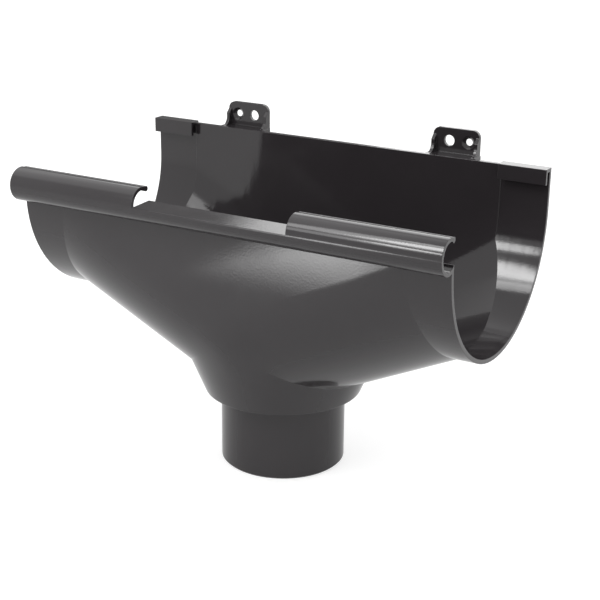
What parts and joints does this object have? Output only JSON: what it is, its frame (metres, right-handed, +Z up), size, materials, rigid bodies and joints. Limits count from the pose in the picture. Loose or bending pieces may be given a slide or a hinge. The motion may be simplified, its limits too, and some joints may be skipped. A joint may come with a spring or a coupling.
{
  "type": "gutter running outlet",
  "caption": "Moulded half-round gutter outlet: two open gutter sockets with front bead clips and rear hooks, a sloping hopper, a round drain spigot and rear fixing tabs.",
  "frame": {"origin": "middle of the spigot's lower rim, on the spigot's axis", "axes": "+X along the gutter, +Y from the front bead towards the house wall, +Z up"},
  "size_m": [0.27, 0.1594, 0.197],
  "materials": {
    "anthracite_plastic": "smooth moulded, semi-gloss"
  },
  "bodies": {
    "root": {"outlet_body": "anthracite_plastic"}
  },
  "joints": []
}
